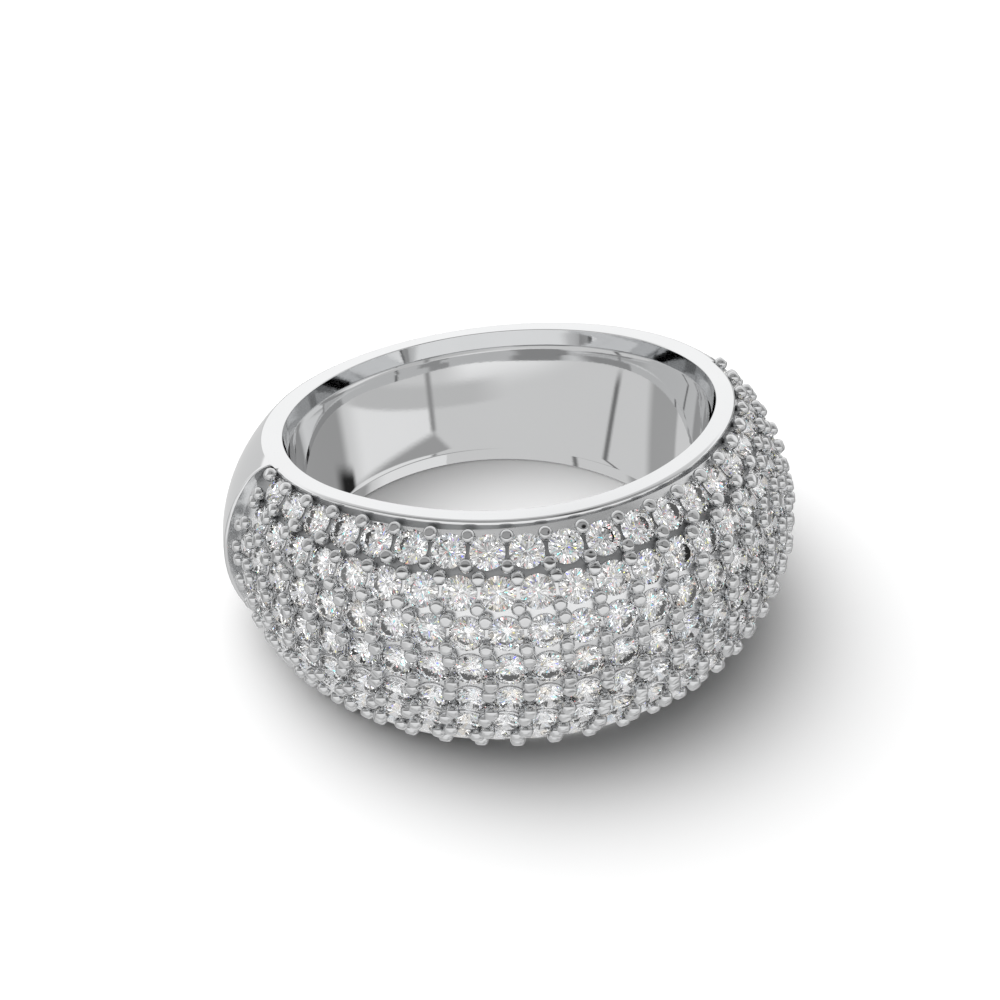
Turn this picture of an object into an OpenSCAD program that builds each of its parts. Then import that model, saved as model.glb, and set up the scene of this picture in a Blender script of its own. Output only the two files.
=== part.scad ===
// Dome ring: one cast band with a wide domed front, its field set with seven rows of round stones.
// Millimetres. The ring lies on its side on the floor z = 0, with the dome towards -Y.

/* [Finger hole] */
// inside diameter of the band
bore_d = 17.3; // [15:0.1:22]
// how far each mouth of the hole is opened
mouth_w = 0.19; // [0.1:0.01:0.3]
// length of the eased mouth along the hole
mouth_l = 0.72; // [0.4:0.02:1]

/* [Side rims] */
// half of the band's width, measured at the middle of the hole
rim_half = 4.36; // [4.2:0.02:4.7]
// slope of the straight rear part of a rim, in degrees
rim_slope = 7.4; // [5:0.1:9]
// how far the straight part reaches past the middle of the hole
rim_straight = 4; // [3:0.1:5]
// radius of the rim's bow over the dome
rim_bow_r = 29.9; // [24:0.1:40]
// thickness of the lip that stands round the field
lip_t = 0.97; // [0.9:0.01:1.05]

/* [Band surface] */
// thickness at the back of the band
back_t = 1.98; // [1.7:0.02:2.4]
// thickness that the plain surface would have at the dome
front_t = 4.86; // [4.6:0.02:5.1]
// radius of the band's cross section
body_r = 5.21; // [5.15:0.01:5.4]

/* [Field of stones] */
// thickness up to the stones' edges at the dome
field_front_t = 3.41; // [3.2:0.01:3.6]
// the same surface at the back of the band
field_back_t = 1.9; // [1.7:0.01:2.1]
// radius of the dome's cross section
field_r = 6.14; // [6:0.01:6.3]
// depth of the field's floor under the stones' edges
floor_drop = 0.05; // [0.02:0.01:0.12]
// where the field ends, behind the middle of the hole
field_end = 0.9; // [0.7:0.05:1.4]
// from the corners of that end to the rim
field_rim_gap = 0.055; // [0.04:0.005:0.2]
// corner radius of that end
field_corner_r = 1.25; // [0.8:0.05:1.6]

/* [Stones] */
// diameter of a stone in the middle of the dome
stone_d = 1.35; // [1.1:0.01:1.36]
// gap between the stones of a row
stone_gap = 0.125; // [0.1:0.005:0.3]
// gap between two rows at the dome
row_gap = 0.19; // [0.15:0.01:0.3]
// least gap between a stone and the lip
lip_gap = 0.02; // [0.01:0.005:0.1]
// least distance from the last prongs of a row to the field's end
end_gap = 0.4; // [0.3:0.05:0.6]
// how closely the rows follow the rims where the band narrows
row_follow = 0.74; // [0.6:0.02:0.8]
// how much of that narrowing the stones' size follows
size_follow = 0.8; // [0.75:0.05:1]
// diameter of the flat top as a share of the stone's
table_share = 0.57; // [0.5:0.01:0.62]
// height above the stone's edge as a share of its diameter
crown_share = 0.15; // [0.12:0.01:0.18]
// depth under the stone's edge as a share of its diameter
pavilion_share = 0.43; // [0.4:0.01:0.45]
// gap between a stone and its seat
seat_gap = 0.03; // [0.02:0.005:0.04]

/* [Hidden] */
$fn = 96;
deg = 180 / PI;
bore_r = bore_d / 2;
lip_r = bore_r + lip_t;
rim_tan = tan(rim_slope);
lift = rim_half * cos(rim_slope);
reach = bore_d * 2;
// middle of the bow, in the side view
bow_x = rim_straight + rim_bow_r * sin(rim_slope);
bow_z = rim_half + rim_straight * rim_tan - rim_bow_r * cos(rim_slope);
// ring surfaces: radius of the centre line and its shift towards the dome
body_ring_r = bore_r + (front_t + back_t) / 2 - body_r;
body_shift = (front_t - back_t) / 2;
field_ring_r = bore_r + (field_front_t + field_back_t) / 2 - field_r;
field_shift = (field_front_t - field_back_t) / 2;
row_angle = (stone_d + row_gap) / field_r * deg;
field_end_half = rim_at(field_corner_r - field_end) - field_rim_gap - field_corner_r;
seat_top = floor_drop * 0.8;
// how far the ring reaches from the hole's middle to the front and to the back, as it lies
front_reach = (field_shift + field_ring_r + field_r + crown_share * stone_d) * cos(rim_slope)
    + table_share * stone_d / 2 * cos(22.5) * sin(rim_slope);
back_reach = (body_ring_r - body_shift) * cos(rim_slope) + body_r;

// half width of the band at a distance x towards the dome
function rim_at(x) = x < rim_straight
    ? rim_half + x * rim_tan
    : bow_z + sqrt(rim_bow_r * rim_bow_r - pow(x - bow_x, 2));

// turn about the dome's centre line for a stone, from its place along its row
function turn_at(i, j) = j * (stone_d + stone_gap) / (field_ring_r + field_r * cos(i * row_angle)) * deg;

// direction of the same place as seen from the hole
function sight(i, t) =
    let (r = field_ring_r + field_r * cos(i * row_angle))
    atan2(r * sin(t), field_shift + r * cos(t));

// how far the band has narrowed there
function narrow(a) = pow(rim_at(bore_r * cos(a)) / rim_at(bore_r), row_follow);

// a stone's seat: turn, latitude, diameter
function seat_at(i, j) =
    let (t = turn_at(i, j), g = narrow(sight(i, t)))
    [t, asin(sin(i * row_angle) * g), stone_d * pow(g, size_follow)];

// the field's end in the side view, at a height z
function end_at(z) =
    field_corner_r - field_end - sqrt(pow(field_corner_r, 2) - pow(max(abs(z) - field_end_half, 0), 2));

// whether a stone has room: its edge lies off the lip, and the prongs past it lie off the field's end
function has_room(i, j) =
    let (
        s = seat_at(i, j),
        at = centre_at(s),
        past = centre_at(seat_at(i, abs(j) + 0.5)))
    norm([at[0], at[1]]) - s[2] / 2 * sin(abs(s[1])) > lip_r + lip_gap && past[0] > end_at(past[2]) + end_gap;

last_row = floor(60 / row_angle);
half_row = floor(120 / turn_at(0, 1));
SEATS = [for (i = [-last_row:last_row]) for (j = [-half_row:half_row]) if (has_room(i, j)) seat_at(i, j)];

// moves from a stone's own axes, z outwards, to the ring
function out_at(s) = [cos(s[1]) * cos(s[0]), cos(s[1]) * sin(s[0]), sin(s[1])];
function along_at(s) = [-sin(s[0]), cos(s[0]), 0];
function across_at(s) = cross(out_at(s), along_at(s));
function centre_at(s) = [
    field_shift + (field_ring_r + field_r * cos(s[1])) * cos(s[0]),
    (field_ring_r + field_r * cos(s[1])) * sin(s[0]),
    field_r * sin(s[1])];
function placed(s, p) = centre_at(s) + p[0] * along_at(s) + p[1] * across_at(s) + p[2] * out_at(s);

// points of one stone: eight of the table, sixteen of the edge, one below
function cut_points(d) = concat(
    [for (k = [0:7]) let (a = 45 * k + 22.5) [table_share * d / 2 * cos(a), table_share * d / 2 * sin(a), crown_share * d]],
    [for (k = [0:15]) let (a = 22.5 * k) [d / 2 * cos(a), d / 2 * sin(a), 0]],
    [[0, 0, -pavilion_share * d]]);

// its faces, with the points numbered from n
function cut_faces(n) = concat(
    [[for (k = [7:-1:0]) n + k]],
    [for (k = [0:7]) [n + k, n + (k + 1) % 8, n + 8 + (2 * k + 2) % 16]],
    [for (k = [0:7]) [n + k, n + 8 + (2 * k + 1) % 16, n + 8 + 2 * k]],
    [for (k = [0:7]) [n + k, n + 8 + (2 * k + 2) % 16, n + 8 + (2 * k + 1) % 16]],
    [for (k = [0:15]) [n + 8 + k, n + 8 + (k + 1) % 16, n + 24]]);

// lays the ring on the straight part of its lower rim, dome towards -Y
module laid() {
    rotate([0, 0, -90]) translate([(back_reach - front_reach) / 2, 0, lift]) rotate([0, -rim_slope, 0]) children();
}

// side view of the band between its two rims
module side_view() {
    polygon([
        [-reach / 3, -rim_at(-reach / 3)],
        [rim_straight, -rim_at(rim_straight)],
        [rim_straight, rim_at(rim_straight)],
        [-reach / 3, rim_at(-reach / 3)]]);
    intersection() {
        translate([rim_straight, -reach / 2]) square([reach, reach]);
        translate([bow_x, bow_z]) circle(rim_bow_r);
        translate([bow_x, -bow_z]) circle(rim_bow_r);
    }
}

// side view of the field, with a round-cornered end towards the back
module field_view() {
    middle = field_corner_r - field_end;
    translate([-field_end, -field_end_half]) square([reach, 2 * field_end_half]);
    translate([middle, -reach / 2]) square([reach, reach]);
    for (m = [-1, 1]) translate([middle, m * field_end_half]) circle(field_corner_r);
}

// a side view carried through the whole ring
module carried() {
    rotate([90, 0, 0]) linear_extrude(height = reach, center = true) children();
}

// a ring surface with a round cross section
module turned(ring_r, r, shift) {
    translate([shift, 0, 0]) rotate_extrude() intersection() {
        translate([ring_r, 0]) circle(r);
        translate([0, -reach / 2]) square([reach, reach]);
    }
}

// the eased mouth under a straight stretch of rim: height and slope at the hole's middle, from x0 to x1
module mouth(z, slope, x0, x1) {
    intersection() {
        multmatrix([[1, 0, 0, 0], [0, 1, 0, 0], [slope, 0, 1, z], [0, 0, 0, 1]])
            translate([0, 0, -2 * mouth_l]) cylinder(r1 = bore_r - mouth_w, r2 = bore_r + 2 * mouth_w, h = 3 * mouth_l);
        translate([x0, -reach / 2, 0]) cube([x1 - x0, reach, reach]);
    }
}

module mouths() {
    z0 = rim_at(rim_straight);
    slope = (rim_at(bore_r) - z0) / (bore_r - rim_straight);
    mouth(rim_half, rim_tan, -reach, rim_straight);
    mouth(z0 - slope * rim_straight, slope, rim_straight, reach);
}

// corners of one stone's seat, a little wider than the stone's underside
function seat_points(s) =
    let (
        tilt = atan(2 * pavilion_share),
        wide = s[2] / 2 + seat_gap / sin(tilt),
        r = (wide - seat_top / tan(tilt)) / cos(22.5))
    concat(
        [for (k = [0:7]) placed(s, [r * cos(45 * k + 22.5), r * sin(45 * k + 22.5), -seat_top])],
        [placed(s, [0, 0, -wide * tan(tilt)])]);

// its faces, with the points numbered from n
function seat_faces(n) = concat(
    [[for (k = [7:-1:0]) n + k]],
    [for (k = [0:7]) [n + k, n + (k + 1) % 8, n + 8]]);

// the eight-sided seats of all the stones
module seats() {
    polyhedron(
        points = [for (s = SEATS) each seat_points(s)],
        faces = [for (i = [0:len(SEATS) - 1]) each seat_faces(9 * i)],
        convexity = 10);
}

// the collar under the lip, along the field
module collar() {
    intersection() {
        cylinder(r = lip_r, h = reach, center = true);
        translate([field_corner_r - field_end, -reach / 2, -reach / 2]) cube(reach);
    }
}

// the cast band
module band() {
    color([0.86, 0.87, 0.88]) laid() difference() {
        intersection() {
            union() {
                turned(body_ring_r, body_r, body_shift);
                collar();
            }
            carried() side_view();
        }
        cylinder(r = bore_r, h = reach, center = true);
        mouths();
        mirror([0, 0, 1]) mouths();
        difference() {
            carried() field_view();
            cylinder(r = lip_r, h = 2 * reach, center = true);
            turned(field_ring_r, field_r - floor_drop, field_shift);
        }
        seats();
    }
}

// the clear round stones
module stones() {
    color([0.9, 0.95, 1, 0.5]) laid() polyhedron(
        points = [for (s = SEATS) for (p = cut_points(s[2])) placed(s, p)],
        faces = [for (i = [0:len(SEATS) - 1]) each cut_faces(25 * i)],
        convexity = 10);
}

band();
stones();
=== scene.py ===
import math
import random

import bpy
import numpy as np
from mathutils import Euler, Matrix
from mathutils.geometry import delaunay_2d_cdt


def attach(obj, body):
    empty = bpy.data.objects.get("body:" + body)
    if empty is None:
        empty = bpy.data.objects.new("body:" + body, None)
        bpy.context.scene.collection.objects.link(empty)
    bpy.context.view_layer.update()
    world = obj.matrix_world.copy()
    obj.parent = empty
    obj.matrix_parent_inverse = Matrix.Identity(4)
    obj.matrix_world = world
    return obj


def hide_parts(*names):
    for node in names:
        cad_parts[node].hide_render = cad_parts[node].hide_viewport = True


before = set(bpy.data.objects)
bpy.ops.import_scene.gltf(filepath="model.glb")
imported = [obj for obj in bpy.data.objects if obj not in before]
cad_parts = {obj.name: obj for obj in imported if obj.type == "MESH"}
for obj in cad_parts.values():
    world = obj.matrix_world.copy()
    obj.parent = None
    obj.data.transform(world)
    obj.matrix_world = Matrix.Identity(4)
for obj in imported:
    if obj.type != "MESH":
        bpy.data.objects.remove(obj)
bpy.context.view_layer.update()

# Sizes of the ring, in millimetres.

BORE_R, BORE_EASE_R = 8.65, 33
MOUTH_W, MOUTH_L = 0.19, 0.72
RIM_HALF, RIM_SLOPE, RIM_STRAIGHT, RIM_BOW_R = 4.36, math.radians(7.4), 4.0, 29.9
LIP_R = BORE_R + 0.97
BODY_R, BODY_RING_R, BODY_SHIFT = 5.21, BORE_R + 3.42 - 5.21, 1.44
FIELD_R, FIELD_RING_R, FIELD_SHIFT = 6.14, BORE_R + 2.655 - 6.14, 0.755
FLOOR_DROP = 0.05
FIELD_END, FIELD_END_HALF, FIELD_CORNER_R = 0.9, 3.1, 1.25
STONE_D, STONE_PITCH, ROW_PITCH = 1.35, 1.475, 1.54
ROW_STONES = [25, 25, 23, 21]
ROW_FOLLOW, SIZE_FOLLOW = 0.74, 0.8
TABLE, CROWN, PAVILION, SEAT_GAP = 0.57, 0.15, 0.43, 0.03
BEAD_R, BEAD_RISE, BEAD_HALF_GAP = 0.305, 0.2, 0.0875
BEAD_FLAT, BEAD_DOME, BEAD_ROOT = (0.42, 0.72), 0.22, 0.03
STAR_REACH, LOWER_REACH, EDGE_HALF = 0.55, 0.23, 0.008
EDGE_R, MOUTH_FOOT_R, MOUTH_TOP_R = 0.15, 0.35, 0.06
EDGE_SINK = 0.044
STONE_LEAN = math.radians(1.5)

BOW_X = RIM_STRAIGHT + RIM_BOW_R * math.sin(RIM_SLOPE)
BOW_Z = RIM_HALF + RIM_STRAIGHT * math.tan(RIM_SLOPE) - RIM_BOW_R * math.cos(RIM_SLOPE)
FLOOR_R = FIELD_R - FLOOR_DROP
ROW_ANGLE = ROW_PITCH / FIELD_R
LIE_Y, LIE_Z = 0.8105, 4.3237
METRES = 0.001

# How finely the mesh is drawn, and the numbers of the band's finishes, the last of them darkened metal that is painted
# shade.
RIM_STEPS, WALL_STEPS, LIP_STEPS = 480, 12, 240
SHANK_ROWS, SHANK_STEPS, END_STEPS = 121, 241, 81
SEAT_CORNERS, BEAD_CORNERS, HALVINGS = 24, 18, 40
POLISHED, SETTING, SEAT, PAINTED_SHADE = range(4)


def lay(points):
    """Ring's own axes, in mm, to the frame it lies in, in metres: dome towards -Y, the lower rim on the floor."""
    p = np.asarray(points, float)
    x = p[..., 0] * math.cos(RIM_SLOPE) - p[..., 2] * math.sin(RIM_SLOPE)
    z = p[..., 0] * math.sin(RIM_SLOPE) + p[..., 2] * math.cos(RIM_SLOPE)
    return np.stack([p[..., 1], LIE_Y - x, LIE_Z + z], -1) * METRES


def lay_direction(vectors):
    """The same turn for directions."""
    v = np.asarray(vectors, float)
    x = v[..., 0] * math.cos(RIM_SLOPE) - v[..., 2] * math.sin(RIM_SLOPE)
    z = v[..., 0] * math.sin(RIM_SLOPE) + v[..., 2] * math.cos(RIM_SLOPE)
    out = np.stack([v[..., 1], -x, z], -1)
    return out / np.linalg.norm(out, axis=-1, keepdims=True)


def rim_at(x):
    """Half width of the band at a distance x towards the dome."""
    x = np.asarray(x, float)
    bow = BOW_Z + np.sqrt(np.maximum(RIM_BOW_R ** 2 - (x - BOW_X) ** 2, 0))
    return np.where(x < RIM_STRAIGHT, RIM_HALF + x * math.tan(RIM_SLOPE), bow)


def rim_slope_at(x):
    """How fast that half width grows."""
    x = np.asarray(x, float)
    bow = -(x - BOW_X) / np.sqrt(np.maximum(RIM_BOW_R ** 2 - (x - BOW_X) ** 2, 1e-9))
    return np.where(x < RIM_STRAIGHT, math.tan(RIM_SLOPE), bow)


def body_radius(a, z):
    """Distance from the hole's middle to the plain surface, in direction a at height z."""
    big = BODY_RING_R + np.sqrt(np.maximum(BODY_R ** 2 - z ** 2, 0))
    return BODY_SHIFT * np.cos(a) + np.sqrt(big ** 2 - (BODY_SHIFT * np.sin(a)) ** 2)


def field_edge_x(z, wider=0.0):
    """Side view of the field's rear end: its x at a height z."""
    half, corner = FIELD_END_HALF, FIELD_CORNER_R + wider
    up = np.clip(np.abs(z) - half, 0, corner)
    return FIELD_CORNER_R - FIELD_END - np.sqrt(corner ** 2 - up ** 2)


# Mesh pieces.

class Metalwork:
    """Gathers patches of points with their own normals, and makes them one mesh."""

    def __init__(self):
        self.points, self.normals, self.faces, self.finish, self.count = [], [], [], [], 0

    def add(self, points, normals, faces, finish=POLISHED):
        points, normals = np.asarray(points, float), np.asarray(normals, float)
        faces = np.asarray(faces)
        a, b, c = (points[faces[:, k]] for k in (0, 1, 2))
        turned = np.einsum("ij,ij->i", np.cross(b - a, c - a), normals[faces[:, 0]]) < 0
        faces[turned] = faces[turned][:, ::-1]
        self.points.append(points)
        self.normals.append(normals)
        self.faces.extend((faces + self.count).tolist())
        self.finish.extend([finish] * len(faces))
        self.count += len(points)

    def grid(self, points, normals, finish=POLISHED, closed=False):
        """A patch of rows and columns of points; closed joins the last column to the first."""
        rows, cols = points.shape[:2]
        k = np.arange(rows * cols).reshape(rows, cols)
        if closed:
            k = np.concatenate([k, k[:, :1]], 1)
        faces = np.stack([k[:-1, :-1], k[:-1, 1:], k[1:, 1:], k[1:, :-1]], -1).reshape(-1, 4)
        self.add(points.reshape(-1, 3), normals.reshape(-1, 3), faces, finish)

    def make(self, name, materials):
        mesh = bpy.data.meshes.new(name)
        mesh.from_pydata(lay(np.concatenate(self.points)).tolist(), [], self.faces)
        for material in materials:
            mesh.materials.append(material)
        mesh.polygons.foreach_set("material_index", self.finish)
        mesh.polygons.foreach_set("use_smooth", [True] * len(self.faces))
        normals = lay_direction(np.concatenate(self.normals))
        mesh.normals_split_custom_set_from_vertices(normals.tolist())
        return placed(name, mesh)


def placed(name, mesh):
    piece = bpy.data.objects.new(name, mesh)
    bpy.context.scene.collection.objects.link(piece)
    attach(piece, "root")
    return piece


def unit(v):
    return v / np.maximum(np.linalg.norm(v, axis=-1, keepdims=True), 1e-12)


def rounded(before, corner, after, r, steps):
    """Points and tangents of an arc of radius r at a profile's corner; the first three are lists of (r, w) points."""
    into, out = unit(corner - before), unit(after - corner)
    turn = np.arccos(np.clip((into * out).sum(-1), -1, 1))
    reach = (r * np.tan(turn / 2))[:, None]
    points, tangents = [], []
    for k in range(steps + 1):
        s = k / steps
        # a circular arc between the two tangent points, drawn as a rational curve
        w = np.cos(turn / 2)[:, None]
        b0, b1, b2 = (1 - s) ** 2, 2 * s * (1 - s) * w, s ** 2
        start, end = corner - into * reach, corner + out * reach
        points.append((start * b0 + corner * b1 + end * b2) / (b0 + b1 + b2))
        blend = into * np.sin((1 - s) * turn)[:, None] + out * np.sin(s * turn)[:, None]
        tangents.append(unit(blend + 1e-9 * into))
    return points, tangents


def rim_profile(a):
    """Profile rows from the bore over the rim to its outer edge, for all directions a: (r, w) and tangent each."""
    n = len(a)
    plain_edge = np.full(n, 9.5)
    for _ in range(30):
        plain_edge = body_radius(a, rim_at(plain_edge * np.cos(a)))
    in_field = LIP_R * np.cos(a) > FIELD_CORNER_R - FIELD_END
    edge = np.where(in_field, LIP_R, plain_edge)
    z = rim_at(edge * np.cos(a))
    fall = z / np.sqrt(np.maximum(BODY_R ** 2 - z ** 2, 1e-6))
    slope = rim_slope_at(edge * np.cos(a)) * np.cos(a)
    down = np.stack([fall, -1 - slope * fall], -1)
    down[in_field] = [0, -1]

    def at(r, w):
        return np.stack([np.broadcast_to(r, n).astype(float), np.broadcast_to(w, n).astype(float)], -1)

    wall_foot, mouth_foot = at(BORE_R, -2), at(BORE_R, -MOUTH_L)
    mouth_top, rim_edge = at(BORE_R + MOUTH_W, 0), at(edge, 0)
    beyond = rim_edge + unit(down)
    points, tangents = [], []
    for before, corner, after, r, steps in (
        (wall_foot, mouth_foot, mouth_top, MOUTH_FOOT_R, 3),
        (mouth_foot, mouth_top, rim_edge, MOUTH_TOP_R, 5),
        (mouth_top, rim_edge, beyond, EDGE_R, 8),
    ):
        p, t = rounded(before, corner, after, r, steps)
        points += p
        tangents += t
    return np.array(points), np.array(tangents), in_field, edge


def rings_of_rim(metal, side):
    """The bore, the eased mouth, the flat rim and its rounded edge, on one side of the middle plane."""
    a = np.linspace(0, 2 * math.pi, RIM_STEPS + 1)[:-1]
    points, tangents, in_field, edge = rim_profile(a)
    change = np.flatnonzero(in_field != np.roll(in_field, -1))
    extra = []
    for k in change:
        low, high = a[k], a[k] + a[1]
        first = in_field[k]
        for _ in range(HALVINGS):
            middle = (low + high) / 2
            if rim_profile(np.array([middle]))[2][0] == first:
                low = middle
            else:
                high = middle
        extra += [low - 1e-4, high + 1e-4]
    a = np.sort(np.concatenate([a, extra]))
    points, tangents, in_field, edge = rim_profile(a)

    def placed_ring(p, t):
        x = p[:, 0] * np.cos(a)
        spot = np.stack([x, p[:, 0] * np.sin(a), rim_at(x) + p[:, 1]], -1)
        rise = rim_slope_at(x) * np.cos(a) * t[:, 0] + t[:, 1]
        return spot, np.stack([t[:, 0] * np.cos(a), t[:, 0] * np.sin(a), rise], -1)

    rows, along = [], []
    foot = rim_at(BORE_R * np.cos(a)) + points[0][:, 1]
    for share in np.linspace(0, 1, WALL_STEPS + 1)[:-1]:
        z = share * foot
        r = BORE_R - (foot ** 2 - z ** 2) / (2 * BORE_EASE_R)
        rows.append(np.stack([r * np.cos(a), r * np.sin(a), z], -1))
        lean = z / BORE_EASE_R
        along.append(np.stack([lean * np.cos(a), lean * np.sin(a), 1 + 0 * a], -1))
    for p, t in zip(points, tangents):
        spot, direction = placed_ring(p, t)
        rows.append(spot)
        along.append(direction)
    rows, along = np.array(rows), np.array(along)
    step = np.roll(rows, -1, 1) - np.roll(rows, 1, 1)
    normals = unit(np.cross(along, step))
    rows[..., 2] *= side
    normals[..., 2] *= side
    metal.grid(rows, normals, closed=True)
    return a, in_field, rows[-1]


def lip_walls(metal, side):
    """The upright inside of the lip, from its rounded edge down to the field's floor."""
    a = field_rim_angles()
    r = np.full(len(a), LIP_R)
    top = rim_at(r * np.cos(a)) - EDGE_R
    foot = floor_height(a)
    heights = [side * (top + (foot - top) * s) for s in (0, 0.5, 1)]
    rows = [np.stack([r * np.cos(a), r * np.sin(a), height], -1) for height in heights]
    normals = [np.stack([np.cos(a), np.sin(a), 0 * a], -1)] * 3
    # painted shade: the lip wall gets the darkened metal
    metal.grid(np.array(rows), np.array(normals), finish=PAINTED_SHADE)


def floor_height(a):
    """Height of the field's floor where it meets the lip."""
    x, y = LIP_R * np.cos(a) - FIELD_SHIFT, LIP_R * np.sin(a)
    return np.sqrt(np.maximum(FLOOR_R ** 2 - (np.hypot(x, y) - FIELD_RING_R) ** 2, 0))


def field_rim_angles():
    """Directions, from end to end of the field, along the lip."""
    end = math.acos((FIELD_CORNER_R - FIELD_END) / LIP_R)
    return np.linspace(-end, end, LIP_STEPS + 1)


def body_point(t, lat):
    r = BODY_RING_R + BODY_R * np.cos(lat)
    spot = np.stack([BODY_SHIFT + r * np.cos(t), r * np.sin(t), BODY_R * np.sin(lat)], -1)
    return spot, np.stack([np.cos(lat) * np.cos(t), np.cos(lat) * np.sin(t), np.sin(lat)], -1)


def edge_latitude(t):
    """Latitude at which the plain surface meets the rounded edge of the rim."""
    low, high = np.zeros_like(t), np.full_like(t, 1.4)
    for _ in range(HALVINGS):
        middle = (low + high) / 2
        spot = body_point(t, middle)[0]
        inside = spot[..., 2] < rim_at(spot[..., 0])
        low, high = np.where(inside, middle, low), np.where(inside, high, middle)
    return low - EDGE_SINK / BODY_R


def shank_border(v, wider):
    """Turn about the plain surface's centre line at which each row of it meets the field's end."""
    low, high = np.full_like(v, math.radians(60)), np.full_like(v, math.radians(130))
    for _ in range(HALVINGS):
        middle = (low + high) / 2
        spot = body_point(middle, v * edge_latitude(middle))[0]
        past = spot[..., 0] < field_edge_x(spot[..., 2], wider)
        low, high = np.where(past, low, middle), np.where(past, middle, high)
    return low


def shank(metal):
    """The plain outer surface behind the field, and the rounded edge and upright wall at the field's two ends."""
    v = np.sin(np.linspace(-math.pi / 2, math.pi / 2, SHANK_ROWS))
    start, corner = shank_border(v, EDGE_R), shank_border(v, 0.0)
    u = np.linspace(0, 1, SHANK_STEPS)
    t = start[:, None] + (2 * math.pi - 2 * start[:, None]) * u
    spot, normal = body_point(t, v[:, None] * edge_latitude(t))
    metal.grid(spot, normal)
    first, first_normal = spot[:, 0], normal[:, 0]
    tip = body_point(corner, v * edge_latitude(corner))[0]
    z = tip[:, 2]
    across = np.gradient(field_edge_x(z), z, edge_order=2)
    across[np.abs(z) > FIELD_END_HALF + FIELD_CORNER_R - 1e-3] = 0
    wall_normal = unit(np.stack([np.ones_like(z), 0 * z, -across], -1))
    low = floor_radius_y(tip[:, 0], z)
    for m in (1, -1):
        flip = np.array([1, m, 1])
        end = tip - np.array([0, EDGE_R, 0])
        rows, normals = [], []
        for s in np.linspace(0, 1, 9):
            rows.append(first * (1 - s) ** 2 + tip * 2 * s * (1 - s) + end * s ** 2)
            quarter = s * math.pi / 2
            normals.append(unit(first_normal * math.cos(quarter) + wall_normal * math.sin(quarter)))
        metal.grid(np.array(rows) * flip, np.array(normals) * flip)
        fall = np.minimum(low, end[:, 1]) - end[:, 1]
        rows = [np.stack([end[:, 0], end[:, 1] + fall * s, z], -1) for s in (0, 0.5, 1)]
        metal.grid(np.array(rows) * flip, np.array([wall_normal] * 3) * flip, finish=SETTING)


def floor_radius_y(x, z):
    """How far out the field's floor lies at a place in the side view."""
    big = FIELD_RING_R + np.sqrt(np.maximum(FLOOR_R ** 2 - z ** 2, 0))
    return np.sqrt(np.maximum(big ** 2 - (x - FIELD_SHIFT) ** 2, 0))


# Places of the stones and their beads.

def narrowing(i, t):
    """How far the band has narrowed at a place along row i."""
    r = FIELD_RING_R + FIELD_R * math.cos(i * ROW_ANGLE)
    a = math.atan2(r * math.sin(t), FIELD_SHIFT + r * math.cos(t))
    return float(rim_at(BORE_R * math.cos(a)) / rim_at(BORE_R)) ** ROW_FOLLOW


def turn_at(i, j):
    return j * STONE_PITCH / (FIELD_RING_R + FIELD_R * math.cos(i * ROW_ANGLE))


class Spot:
    """A place on the dome, with its own axes along the row, across it and outwards."""

    def __init__(self, t, lat, rise=0.0):
        self.out = np.array([math.cos(lat) * math.cos(t), math.cos(lat) * math.sin(t), math.sin(lat)])
        self.along = np.array([-math.sin(t), math.cos(t), 0.0])
        self.across = np.cross(self.out, self.along)
        r = FIELD_RING_R + (FIELD_R + rise) * math.cos(lat)
        self.at = np.array([FIELD_SHIFT + r * math.cos(t), r * math.sin(t), (FIELD_R + rise) * math.sin(lat)])

    def place(self, points):
        p = np.asarray(points, float)
        return self.at + p[:, :1] * self.along + p[:, 1:2] * self.across + p[:, 2:] * self.out

    def turn(self, vectors):
        v = np.asarray(vectors, float)
        return v[:, :1] * self.along + v[:, 1:2] * self.across + v[:, 2:] * self.out


def stone_spots():
    spots = []
    for i in range(-3, 4):
        n = (ROW_STONES[abs(i)] - 1) // 2
        for j in range(-n, n + 1):
            t = turn_at(i, j)
            g = narrowing(i, t)
            spots.append((Spot(t, math.asin(math.sin(i * ROW_ANGLE) * g)), STONE_D * g ** SIZE_FOLLOW))
    return spots


def bead_spots():
    spots = []
    for i in range(-3, 4):
        n = (ROW_STONES[abs(i)] - 1) / 2
        for k in range(ROW_STONES[abs(i)] + 1):
            t = turn_at(i, k - n - 0.5)
            g = narrowing(i, t)
            for side in (-1, 1):
                lat = math.asin(math.sin(i * ROW_ANGLE + side * BEAD_HALF_GAP) * g)
                spots.append((Spot(t, lat, BEAD_RISE), g ** SIZE_FOLLOW))
    return spots


STONES = stone_spots()
BEADS = bead_spots()


# The field's floor with its seats.

PLAN_ALONG, PLAN_ACROSS, LIP_MARGIN = 10, 6, 0.003
# band of the floor between the first and second rows of stones that gets the darkened metal, painted shade
PAINTED_SHADE_ROWS = (2.2, 3.2)


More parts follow.
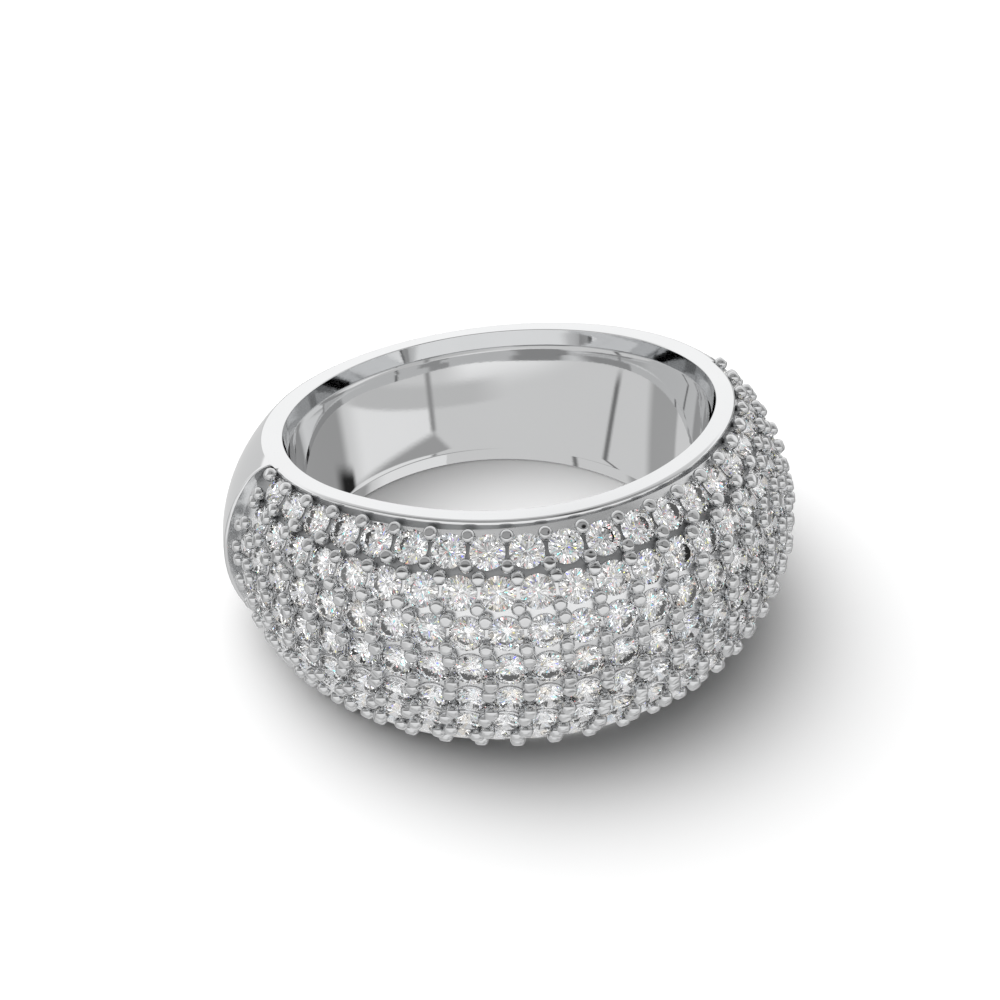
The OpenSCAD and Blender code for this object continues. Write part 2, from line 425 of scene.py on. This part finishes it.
def field_floor(metal):
    """The floor between the lip and the two ends, cut by the stones' round seats."""
    tilt = math.atan(2 * PAVILION)

    def to_plan(p):
        """Flat plan of the floor: turn along the rows and latitude across them, each times a length."""
        t = np.arctan2(p[:, 1], p[:, 0] - FIELD_SHIFT)
        lat = np.arctan2(p[:, 2], np.hypot(p[:, 0] - FIELD_SHIFT, p[:, 1]) - FIELD_RING_R)
        return np.stack([t * PLAN_ALONG, lat * PLAN_ACROSS], -1)

    a = field_rim_angles()
    lip = np.stack([LIP_R * np.cos(a), LIP_R * np.sin(a), floor_height(a)], -1)
    lip_plan = to_plan(lip)
    end_height = float(floor_height(a[:1])[0])
    z = np.linspace(-end_height, end_height, END_STEPS)[1:-1]
    x = field_edge_x(z)
    end = np.stack([x, floor_radius_y(x, z), z], -1)
    outline = np.concatenate([to_plan(p) for p in (lip, end[::-1], lip[::-1] * [1, 1, -1], end * [1, -1, 1])])
    edges = [(k, (k + 1) % len(outline)) for k in range(len(outline))]
    ring = np.linspace(0, 2 * math.pi, SEAT_CORNERS + 1)[:-1]
    plans, start = [outline], len(outline)
    for spot, d in STONES:
        r = d / 2 + SEAT_GAP / math.sin(tilt) - FLOOR_DROP / math.tan(tilt)
        hole = spot.place(np.stack([r * np.cos(ring), r * np.sin(ring), 0 * ring - FLOOR_DROP], -1))
        plan = to_plan(hole)
        reach = np.interp(plan[:, 0], lip_plan[:, 0], lip_plan[:, 1]) - LIP_MARGIN
        plan[:, 1] = np.clip(plan[:, 1], -reach, reach)
        plans.append(plan)
        edges += [(start + k, start + (k + 1) % SEAT_CORNERS) for k in range(SEAT_CORNERS)]
        start += SEAT_CORNERS
        rows = []
        for s in (1, 0.66, 0.33, 0.02):
            depth = 0 * ring - FLOOR_DROP - r * (1 - s) * math.tan(tilt)
            rows.append(spot.place(np.stack([r * s * np.cos(ring), r * s * np.sin(ring), depth], -1)))
        level, rise = math.sin(tilt), 0 * ring + math.cos(tilt)
        lean = spot.turn(np.stack([-np.cos(ring) * level, -np.sin(ring) * level, rise], -1))
        # the seats get the glowing metal, painted light
        metal.grid(np.array(rows), np.array([lean] * 4), finish=SEAT, closed=True)
    flat = np.concatenate(plans)
    points, _, faces, origins = delaunay_2d_cdt([tuple(p) for p in flat], edges, [], 1, 1e-6)[:4]
    seat = [(origin[0] - len(outline)) // SEAT_CORNERS for origin in origins]
    # what lies inside one seat's circle is open
    faces = [face for face in faces if seat[face[0]] < 0 or len({seat[v] for v in face}) > 1]
    plan = np.array([tuple(p) for p in points])
    t, lat = plan[:, 0] / PLAN_ALONG, plan[:, 1] / PLAN_ACROSS
    r = FIELD_RING_R + FLOOR_R * np.cos(lat)
    spots = np.stack([FIELD_SHIFT + r * np.cos(t), r * np.sin(t), FLOOR_R * np.sin(lat)], -1)
    normals = np.stack([np.cos(lat) * np.cos(t), np.cos(lat) * np.sin(t), np.sin(lat)], -1)
    # the floor between the first and second rows is darkened: painted shade
    height = np.array([np.abs(lat[face]).mean() for face in faces]) / ROW_ANGLE
    painted_shade_faces = (height > PAINTED_SHADE_ROWS[0]) & (height < PAINTED_SHADE_ROWS[1])
    faces = np.array(faces)
    metal.add(spots, normals, faces[~painted_shade_faces], finish=SETTING)
    metal.add(spots, normals, faces[painted_shade_faces], finish=PAINTED_SHADE)


# Beads and cut stones.

def circle(a, r, z):
    """Points round a level circle, at the directions a."""
    return np.stack([r * np.cos(a), r * np.sin(a), 0 * a + z], -1)


def bead_shape(r):
    """A ball on a short stem, its crown burnished almost flat: points and normals in rows."""
    a = np.linspace(0, 2 * math.pi, BEAD_CORNERS + 1)[:-1]
    rows, normals = [], []
    out, height, steps = 0.0, 0.0, 60
    profile = []
    # reach, height and lean of the crown, from the middle outwards
    for k in range(steps + 1):
        reach = math.sin(k / steps * math.pi / 2)
        ease = min(max((reach - BEAD_FLAT[0]) / (BEAD_FLAT[1] - BEAD_FLAT[0]), 0), 1)
        steepness = BEAD_DOME + (1 - BEAD_DOME) * ease * ease * (3 - 2 * ease)
        lean = math.asin(min(reach * steepness, 0.999))
        if k:
            height -= (reach - out) * math.tan((lean + profile[-1][2]) / 2)
        out = reach
        profile.append((reach, height, lean))
    foot = profile[-1][1]
    for reach, z, lean in [profile[k] for k in (1, 14, 22, 30, 37, 44, 52, 60)]:
        rows.append(circle(a, r * reach, r * (z - foot)))
        normals.append(circle(a, math.sin(lean), math.cos(lean)))
    for k in (1, 2):
        low = math.radians(22 * k)
        rows.append(circle(a, r * math.cos(low), -r * math.sin(low)))
        normals.append(circle(a, math.cos(low), -math.sin(low)))
    stem = r * math.cos(math.radians(45))
    rows.append(circle(a, stem, -BEAD_RISE - FLOOR_DROP - BEAD_ROOT))
    normals.append(circle(a, 1, 0))
    return np.array(rows), np.array(normals)


def beads(metal):
    """All the ball heads between the stones, each a hair different, as cast and polished by hand."""
    chance = random.Random(7)
    for spot, g in BEADS:
        rows, normals = bead_shape(BEAD_R * g * chance.uniform(0.96, 1.03))
        shape = rows.shape
        off = [chance.uniform(-0.012, 0.012), chance.uniform(-0.012, 0.012), chance.uniform(-0.015, 0.01)]
        rows = spot.place(rows.reshape(-1, 3) + off)
        rows, normals = rows.reshape(shape), spot.turn(normals.reshape(-1, 3)).reshape(shape)
        metal.grid(rows, normals, closed=True)
        metal.add(rows[0], normals[0], [list(range(shape[1]))])


def brilliant_cut():
    """Points and facets of a round brilliant one unit across, from the table down to the tip."""
    points, facets = [], []

    def point(deg, r, z):
        points.append((r * math.cos(math.radians(deg)), r * math.sin(math.radians(deg)), z))
        return len(points) - 1

    crown_rise = CROWN / (0.5 - TABLE / 2)
    star_r = TABLE / 2 * math.cos(math.radians(22.5)) * (1 - STAR_REACH) + 0.5 * STAR_REACH
    star_z = CROWN - (star_r * math.cos(math.radians(22.5)) - TABLE / 2) * crown_rise
    low_r = 0.5 * LOWER_REACH
    low_z = -PAVILION + low_r * math.cos(math.radians(22.5)) * 2 * PAVILION
    table = [point(45 * k + 22.5, TABLE / 2, CROWN) for k in range(8)]
    star = [point(45 * k + 45, star_r, star_z) for k in range(8)]
    dip = 0.5 * (1 - math.cos(math.radians(11.25)))
    # every other corner is set in by the fall of the side it meets over the dip of the edge
    crown_fall, pavilion_fall = 0.7, 0.86
    top = [point(11.25 * k + 22.5, 0.5, EDGE_HALF - (dip * crown_fall if k % 2 else 0)) for k in range(32)]
    under = [point(11.25 * k + 22.5, 0.5, -EDGE_HALF + (dip * pavilion_fall if k % 2 else 0)) for k in range(32)]
    low = [point(45 * k + 45, low_r, low_z) for k in range(8)]
    tip = point(0, 0, -PAVILION)
    facets.append(table)
    for k in range(8):
        n = (k + 1) % 8
        kite, half = 4 * k, (4 * k + 2) % 32
        later = (4 * k + 4) % 32
        facets.append([table[k], star[k], table[n]])
        facets.append([table[k], star[k - 1], top[kite], star[k]])
        facets.append([star[k], top[kite], top[kite + 1], top[half]])
        facets.append([star[k], top[half], top[half + 1], top[later]])
        facets.append([tip, low[k], under[kite], low[k - 1]])
        facets.append([low[k], under[half], under[kite + 1], under[kite]])
        facets.append([low[k], under[later], under[half + 1], under[half]])
    for k in range(32):
        facets.append([top[k], under[k], under[(k + 1) % 32], top[(k + 1) % 32]])
    points = np.array(points)
    for facet in facets:
        a, b, c = points[facet[:3]]
        if np.dot(np.cross(b - a, c - a), a - [0, 0, -0.1]) < 0:
            facet.reverse()
    return points, facets


def cut_stones(name, materials):
    """The round brilliants of the field as one mesh; each facet has its own number that picks its painted fire, a tint
    standing in for the coloured light of dispersion.
    """
    shape, facets = brilliant_cut()
    chance = random.Random(11)
    points, faces, fire = [], [], []
    for k, (spot, d) in enumerate(STONES):
        turn = chance.uniform(0, 2 * math.pi)
        lean = [chance.uniform(-STONE_LEAN, STONE_LEAN) for _ in "xy"]
        spin = Euler((*lean, turn)).to_matrix()
        points.append(spot.place((shape * d) @ np.array(spin).T))
        faces += [[v + k * len(shape) for v in facet] for facet in facets]
        fire += [0.0] + [chance.random() for _ in facets[1:]]
    mesh = bpy.data.meshes.new(name)
    mesh.from_pydata(lay(np.concatenate(points)).tolist(), [], faces)
    for material in materials:
        mesh.materials.append(material)
    mesh.attributes.new("fire", "FLOAT", "FACE").data.foreach_set("value", fire)
    mesh.polygons.foreach_set("material_index", ([0] * (len(facets) - 32) + [1] * 32) * len(STONES))
    return placed(name, mesh)


# Materials.

class Value:
    """A socket of a material, with arithmetic."""

    def __init__(self, shop, socket):
        self.shop, self.socket = shop, socket

    def step(self, start, end):
        """0 before start, 1 past end, eased between."""
        return self.shop.value("ShaderNodeMapRange", {"interpolation_type": "SMOOTHSTEP"}, [self, start, end, 0.0, 1.0])

    def towards(self, target, share):
        return self + (target - self) * share

    def math(self, operation, *others):
        return self.shop.value("ShaderNodeMath", {"operation": operation}, [self, *others])

    def __add__(self, other):
        return self.math("ADD", other)

    __radd__ = __add__

    def __mul__(self, other):
        return self.math("MULTIPLY", other)

    __rmul__ = __mul__

    def __sub__(self, other):
        return self.math("SUBTRACT", other)

    def __rsub__(self, other):
        return self.shop.value("ShaderNodeMath", {"operation": "SUBTRACT"}, [other, self])


class Shop:
    """Makes the nodes of one material or of the world."""

    def __init__(self, tree):
        self.tree = tree

    def node(self, kind, settings=None, inputs=()):
        made = self.tree.nodes.new(kind)
        for key, value in (settings or {}).items():
            if key == "stops":
                ramp = made.color_ramp
                while len(ramp.elements) < len(value):
                    ramp.elements.new(0.5)
                for element, (place, colour) in zip(ramp.elements, value):
                    element.position, element.color = place, colour
            elif key == "ramp":
                made.color_ramp.interpolation = value
            else:
                setattr(made, key, value)
        items = inputs.items() if isinstance(inputs, dict) else enumerate(inputs)
        for key, value in items:
            if isinstance(value, Value):
                self.tree.links.new(value.socket, made.inputs[key])
            elif value is not None:
                made.inputs[key].default_value = value
        return made

    def value(self, kind, settings=None, inputs=(), output=0):
        return Value(self, self.node(kind, settings, inputs).outputs[output])

    def spot(self):
        """Object coordinates."""
        return self.value("ShaderNodeTexCoord", output="Object")

    def mixed(self, share, first, second):
        """Two colours mixed by a share."""
        return self.value("ShaderNodeMix", {"data_type": "RGBA"}, {0: share, 6: first, 7: second}, 2)

    def vectors(self, operation, inputs, output=0):
        return self.value("ShaderNodeVectorMath", {"operation": operation}, inputs, output)

    def axis(self, vector, name):
        return self.value("ShaderNodeSeparateXYZ", {}, [vector], name)

    def greys(self, place, stops, settings):
        """A ramp of greys."""
        colours = [(at, (v, v, v, 1)) for at, v in stops]
        return self.value("ShaderNodeValToRGB", {**settings, "stops": colours}, {0: place})


def new_material(name, shader, constants):
    """A material whose shader gives what varies, and constants what is the same all over."""
    material = bpy.data.materials.new(name)
    material.use_nodes = True
    tree = material.node_tree
    tree.nodes.clear()
    shop = Shop(tree)
    body = shop.node("ShaderNodeBsdfPrincipled", {}, constants)
    out = shop.node("ShaderNodeOutputMaterial")
    tree.links.new(body.outputs[0], out.inputs[0])
    for key, value in shader(shop).items():
        if isinstance(value, Value):
            tree.links.new(value.socket, body.inputs[key])
        else:
            body.inputs[key].default_value = value
    return material


def white_gold(name, roughness, tone, marks, glow=0.0):
    """White metal with faint clouds in its polish and very fine wheel marks; glow is painted light, an emission
    standing in for the light that comes through the stones.
    """

    def shader(shop):
        spot = shop.spot()
        cloud = shop.value("ShaderNodeTexNoise", {}, {"Vector": spot, "Scale": 260.0, "Detail": 3.0})
        fine = shop.value("ShaderNodeTexNoise", {}, {"Vector": spot, "Scale": 9000.0, "Detail": 2.0})
        colour = shop.mixed(cloud, (*tone[0], 1), (*tone[1], 1))
        bump = shop.value("ShaderNodeBump", {}, {"Strength": marks, "Distance": 0.00001, "Height": fine})
        return {
            "Base Color": colour,
            "Roughness": roughness + cloud * (roughness * 0.6) - fine * (roughness * 0.2),
            "Normal": bump,
            "Emission Color": colour,
        }

    return new_material(name, shader, {"Metallic": 1.0, "Emission Strength": glow})


def clear_stone():
    """Clear cut stone: glass-like body whose facets are tinted grey, pale blue and peach at random, painted light
    standing in for the flashes of colour that its facets throw.
    """

    def shader(shop):
        fire = shop.value("ShaderNodeAttribute", {"attribute_name": "fire"}, output="Fac")
        white, grey = (1, 1, 1, 1), (0.9, 0.92, 0.94, 1)
        # these tints are painted light: the coloured flashes of dispersion painted into the facets' colour
        stops = [
            (0.0, white), (0.35, grey), (0.7, white), (0.9, (0.8, 0.9, 1, 1)), (0.94, (1, 0.9, 0.75, 1)),
        ]
        return {"Base Color": shop.value("ShaderNodeValToRGB", {"ramp": "CONSTANT", "stops": stops}, {0: fire})}

    return new_material("clear_brilliant", shader, {"Roughness": 0.0, "IOR": 2.42, "Transmission Weight": 1.0})


def ground_edge():
    """The finely ground edge between the stones' two sides."""

    def shader(shop):
        grain = shop.value("ShaderNodeTexNoise", {}, {"Vector": shop.spot(), "Scale": 20000.0})
        colour = shop.mixed(grain, (0.8, 0.81, 0.83, 1), (0.95, 0.95, 0.96, 1))
        return {"Base Color": colour, "Roughness": 0.35 + grain * 0.2}

    return new_material("ground_stone_edge", shader, {})


def table_top():
    """The plain pale floor."""

    def shader(shop):
        grain = shop.value("ShaderNodeTexNoise", {}, {"Vector": shop.spot(), "Scale": 35.0, "Detail": 4.0})
        colour = shop.mixed(grain, (0.9, 0.9, 0.9, 1), (0.94, 0.94, 0.94, 1))
        return {"Base Color": colour, "Roughness": 0.5 + grain * 0.1}

    return new_material("pale_floor", shader, {"Specular IOR Level": 0.0})


# The ring.

mirror_gold = white_gold("polished_white_gold", 0.03, ((0.74, 0.745, 0.75), (0.78, 0.785, 0.79)), 0.03)
# a darker copy of the white gold for the beads: painted shade standing in for the shade among the stones
bead_gold_painted_shade = white_gold("beads_painted_shade", 0.05, ((0.64, 0.645, 0.65), (0.7, 0.705, 0.71)), 0.03)
# the seats glow: painted light, an emission standing in for light that comes down through the stones
seat_gold_painted_glow = white_gold("seats_painted_glow", 0.7, ((0.9, 0.9, 0.905), (0.96, 0.96, 0.965)), 0.1, 0.45)
# a darkened copy of the white gold: painted shade on the lip wall and on the floor between the first and second rows
lip_gold_painted_shade = white_gold("lip_wall_painted_shade", 0.35, ((0.3, 0.305, 0.31), (0.4, 0.405, 0.41)), 0.05)
setting_gold = white_gold("white_gold_under_stones", 0.22, ((0.78, 0.785, 0.79), (0.86, 0.865, 0.87)), 0.1)

ring_metal = Metalwork()
for side in (1, -1):
    rings_of_rim(ring_metal, side)
    lip_walls(ring_metal, side)
shank(ring_metal)
field_floor(ring_metal)
band = ring_metal.make("ring_band", [mirror_gold, setting_gold, seat_gold_painted_glow, lip_gold_painted_shade])
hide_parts("band")

bead_metal = Metalwork()
beads(bead_metal)
bead_piece = bead_metal.make("ball_prongs", [bead_gold_painted_shade])

stones = cut_stones("cut_stones", [clear_stone(), ground_edge()])
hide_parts("stones")


# Floor, light and camera.

FLOOR_REACH = 3
floor_mesh = bpy.data.meshes.new("floor")
corners = [(x * FLOOR_REACH, y * FLOOR_REACH, 0) for x, y in ((-1, -1), (1, -1), (1, 1), (-1, 1))]
floor_mesh.from_pydata(corners, [], [(0, 1, 2, 3)])
floor_mesh.materials.append(table_top())
floor = bpy.data.objects.new("floor", floor_mesh)
bpy.context.scene.collection.objects.link(floor)
floor.visible_glossy = False

# Light on the floor: an even part, and a soft lamp from above the rear.
DOME_LIGHT, DOME_PEAK, DOME_FROM = 0.28, 3.5, (-0.25, 0.45, 0.86)
CAMERA_SIDE, BAR_AT = (-0.381, -0.925, 0), (0.24, -0.46, 0.855)
LAMP_CELL, COLOUR_BEND, BOUNCE_LOSS = (0.13, 0.13, 0.13), (0.0025, 0.002, -0.002), 0.85
LAMPS = [(0.0, 0.26), (0.2, 0.46), (0.45, 0.8), (0.75, 1.15), (0.95, 2.8), (0.985, 8.0)]
# Brightness by angle, from the horizon in front over the top to the horizon behind, and round underneath.
PANELS = [
    (0.0, 0.95), (0.2, 1.1), (0.235, 1.05), (0.248, 0.12), (0.285, 0.14), (0.31, 0.46), (0.48, 0.4), (0.53, 0.62),
    (0.75, 0.8), (0.84, 1.12), (1.0, 1.14),
]


def seen_in_stones(shop, way):
    """Small lamps and dark gaps that the facets pick up, each colour bent a little further than the last."""
    channels = []
    for k in (-1, 0, 1):
        bent = shop.vectors("ADD", [way, tuple(k * v for v in COLOUR_BEND)])
        cell = shop.vectors("SNAP", [bent, LAMP_CELL])
        share = shop.value("ShaderNodeTexWhiteNoise", {}, {"Vector": cell}, "Value")
        channels.append(shop.greys(share, LAMPS, {"ramp": "CONSTANT"}))
    return shop.value("ShaderNodeCombineColor", {}, channels)


def under_ring(shop, way):
    """What the polished bore sees below the horizon: pale cards with a dimmer band, a corner and two dark seams."""
    x, y, z = (shop.axis(way, name) for name in "XYZ")
    turn = x.math("ARCTAN2", y * -1.0) * math.degrees(1)
    rise = z.math("ARCSINE") * math.degrees(1)
    shade = 0.72 + 0.3 * rise.step(-21, -14) * turn.step(-75, -40) * (1 - turn.step(-8, 12))
    # the dimmer band and the bright card under it
    band = rise.step(-23, -22) * (1 - rise.step(-19, -17))
    shade = shade.towards(0.6, band * turn.step(-28, -5) * (1 - turn.step(60, 75)))
    shade = shade.towards(0.92, (1 - rise.step(-23, -22)) * turn.step(17, 18) * (1 - turn.step(60, 75)))
    # the corner, and the two seams
    right, left = (turn - 17.2).math("MAXIMUM", 0.0), (17.2 - turn).math("MAXIMUM", 0.0)
    corner = rise + 26.8 + 0.145 * right + 0.44 * left
    shade = shade.towards(0.4, (1 - corner.step(-1.5, 0.5)) * rise.step(-46, -42) * (1 - turn.step(70, 90)))
    seam = (turn - 17.2).math("ABSOLUTE")
    shade = shade.towards(0.33, (1 - seam.step(0.0, 2.8)) * rise.step(-27.5, -26.5) * (1 - rise.step(-6, 0)))
    seam = (turn + 106.0 + 0.64 * rise).math("ABSOLUTE")
    shade = shade.towards(0.2, (1 - seam.step(0.2, 3.2)) * (1 - rise.step(-26, -22)))
    # the darker sides, and a small black patch
    shade = shade.towards(0.38, turn.step(72, 80) * (1 - turn.step(125, 140)))
    patch = turn.step(70, 74) * (1 - turn.step(80, 90))
    shade = shade.towards(0.02, patch * (1 - rise.step(-34, -31)) * rise.step(-42, -39))
    return shade.towards(0.42, (1 - turn.step(-118, -110)) * turn.step(-142, -138))


def studio_dome():
    """Surroundings seen in the metal: a bright panel low in front, a grey ceiling with a dark slit, a bright rear."""
    world = bpy.data.worlds.new("studio")
    world.use_nodes = True
    tree = world.node_tree
    tree.nodes.clear()
    shop = Shop(tree)
    way = shop.value("ShaderNodeTexCoord", output="Generated")
    front = shop.vectors("DOT_PRODUCT", [way, CAMERA_SIDE], "Value")
    up = shop.axis(way, "Z")
    over = up.math("ARCTAN2", front) * (1 / math.pi)
    panels = shop.greys(over, PANELS, {})
    panels = shop.axis(panels, "X")
    slit = over.step(0.484, 0.494) * (1 - over.step(0.512, 0.524)) * up.step(0.65, 0.8)
    panels = panels.towards(0.04, slit)
    bar = shop.vectors("DISTANCE", [way, BAR_AT], "Value")
    panels = panels * (0.05 + 0.95 * bar.step(0.1, 0.19))
    lit = under_ring(shop, way).towards(panels, up.step(-0.03, 0.03))
    # less of it comes back from the ring to the floor
    bounced = shop.value("ShaderNodeLightPath", output="Diffuse Depth").math("MINIMUM", 1.0)
    lit = lit * (1 - BOUNCE_LOSS * bounced)
    inside = shop.vectors("SCALE", {0: seen_in_stones(shop, way), "Scale": 1 - BOUNCE_LOSS * bounced})
    near = shop.vectors("DOT_PRODUCT", [way, DOME_FROM], "Value").math("MAXIMUM", 0.0)
    light = DOME_LIGHT + DOME_PEAK * near.math("POWER", 4.0)
    for ray, part in (("Is Glossy Ray", lit), ("Is Transmission Ray", inside), ("Is Camera Ray", (1, 1, 1, 1))):
        share = shop.value("ShaderNodeLightPath", output=ray)
        light = shop.mixed(share, light, part)
    glow = shop.node("ShaderNodeBackground", {}, {0: light, 1: 1.0})
    out = shop.node("ShaderNodeOutputWorld")
    tree.links.new(glow.outputs[0], out.inputs[0])
    bpy.context.scene.world = world


studio_dome()

camera_data = bpy.data.cameras.new("camera")
camera_data.lens, camera_data.sensor_width = 86.874, 36
camera_data.clip_start = 0.001
camera = bpy.data.objects.new("camera", camera_data)
camera.location = (-0.02994, -0.0716, 0.06743)
camera.rotation_euler = [math.radians(v) for v in (51.173, 0, -22.363)]
bpy.context.scene.collection.objects.link(camera)
bpy.context.scene.camera = camera
bpy.context.scene.view_settings.view_transform = "Standard"
